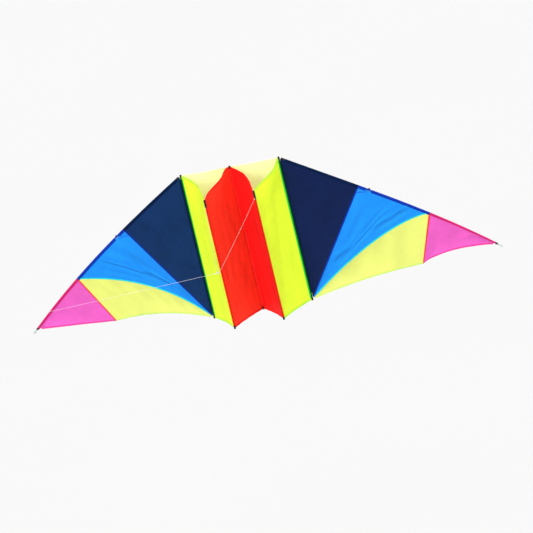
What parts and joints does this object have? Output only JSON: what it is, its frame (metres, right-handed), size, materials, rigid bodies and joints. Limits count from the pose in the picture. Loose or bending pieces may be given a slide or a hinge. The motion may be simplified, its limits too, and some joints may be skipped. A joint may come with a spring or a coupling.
{
  "type": "delta kite",
  "caption": "Twin-cell delta kite with sewn colour panels, bent leading-edge spars, a clip-on cross spreader, a two-leg bridle and a flying line.",
  "frame": {"origin": "centre of the tow ring, where the two bridle legs meet the flying line", "axes": "+Z along the spine to the nose, -Y is the belly side that faces the flyer, +X across the span"},
  "size_m": [2.0436, 1.3104, 0.6656],
  "materials": {
    "sail_pale_yellow": "thin ripstop nylon, slightly translucent",
    "sail_lime": "thin ripstop nylon, slightly translucent",
    "sail_red": "thin ripstop nylon, slightly translucent",
    "sail_navy": "thin ripstop nylon",
    "sail_blue": "thin ripstop nylon, slightly translucent",
    "sail_yellow": "thin ripstop nylon, slightly translucent",
    "sail_pink": "thin ripstop nylon, slightly translucent",
    "sleeve_green": "folded and sewn polyester",
    "sleeve_red": "folded and sewn nylon",
    "sleeve_navy": "folded and sewn polyester",
    "sleeve_blue": "folded and sewn nylon",
    "sleeve_magenta": "folded and sewn nylon",
    "glass_fibre_rod": "pultruded glass fibre",
    "black_vinyl": "satin vinyl",
    "pale_nock": "moulded nylon",
    "dark_facing": "woven polyester tape",
    "black_webbing": "woven webbing",
    "bridle_cord": "braided polyester",
    "flying_cord": "twisted polyester",
    "ferrule_metal": "drawn tube, satin",
    "ring_steel": "welded wire"
  },
  "bodies": {
    "kite": {"upper_sail_left": "sail_pale_yellow", "upper_sail_right": "sail_pale_yellow", "lime_panel_left": "sail_lime", "lime_panel_right": "sail_lime", "red_panel_left": "sail_red", "red_panel_right": "sail_red", "longeron_rod_left": "glass_fibre_rod", "longeron_rod_right": "glass_fibre_rod", "keel_rod_left": "glass_fibre_rod", "keel_rod_right": "glass_fibre_rod", "longeron_sleeve_left": "sleeve_green", "longeron_sleeve_right": "sleeve_green", "keel_sleeve_left": "sleeve_red", "keel_sleeve_right": "sleeve_red", "tow_tab_left": "black_webbing", "tow_tab_right": "black_webbing", "spine_rod": "glass_fibre_rod", "spine_sleeve": "sleeve_red", "nose_caps": "black_vinyl", "tail_caps": "black_vinyl"},
    "left_wing": {"navy_panel_left": "sail_navy", "blue_panel_left": "sail_blue", "yellow_panel_left": "sail_yellow", "pink_panel_left": "sail_pink", "edge_rod_left": "glass_fibre_rod", "navy_sleeve_left": "sleeve_navy", "blue_sleeve_left": "sleeve_blue", "pink_sleeve_left": "sleeve_magenta", "edge_root_cap_left": "black_vinyl", "tip_nock_left": "pale_nock", "tip_patch_left": "dark_facing", "spreader_patch_left": "sail_blue"},
    "right_wing": {"navy_panel_right": "sail_navy", "blue_panel_right": "sail_blue", "yellow_panel_right": "sail_yellow", "pink_panel_right": "sail_pink", "edge_rod_right": "glass_fibre_rod", "navy_sleeve_right": "sleeve_navy", "blue_sleeve_right": "sleeve_blue", "pink_sleeve_right": "sleeve_magenta", "edge_root_cap_right": "black_vinyl", "tip_nock_right": "pale_nock", "tip_patch_right": "dark_facing", "spreader_patch_right": "sail_blue"},
    "spreader": {"spreader_rod_left": "glass_fibre_rod", "spreader_rod_right": "glass_fibre_rod", "spreader_hook_left": "black_vinyl", "spreader_hook_right": "black_vinyl", "spreader_ferrule": "ferrule_metal"},
    "tow_line": {"bridle_leg_left": "bridle_cord", "bridle_leg_right": "bridle_cord", "tow_ring": "ring_steel", "flying_line": "flying_cord", "line_knot": "flying_cord", "line_end_loop": "flying_cord"}
  },
  "joints": [
    {"name": "left_wing_fold", "type": "hinge", "parent": "kite", "child": "left_wing", "pos_m": [-0.212, 0.9, 0], "axis": [0, 0, 1], "range_deg": [0, 90]},
    {"name": "right_wing_fold", "type": "hinge", "parent": "kite", "child": "right_wing", "pos_m": [0.212, 0.9, 0], "axis": [0, 0, -1], "range_deg": [0, 90]},
    {"name": "spreader_unclip", "type": "slide", "parent": "kite", "child": "spreader", "axis": [0, 1, 0], "range_m": [0, 0.06]},
    {"name": "bridle_swing", "type": "hinge", "parent": "kite", "child": "tow_line", "pos_m": [0, 0.698, 0.066], "axis": [1, 0, 0], "range_deg": [-100, 75]}
  ]
}
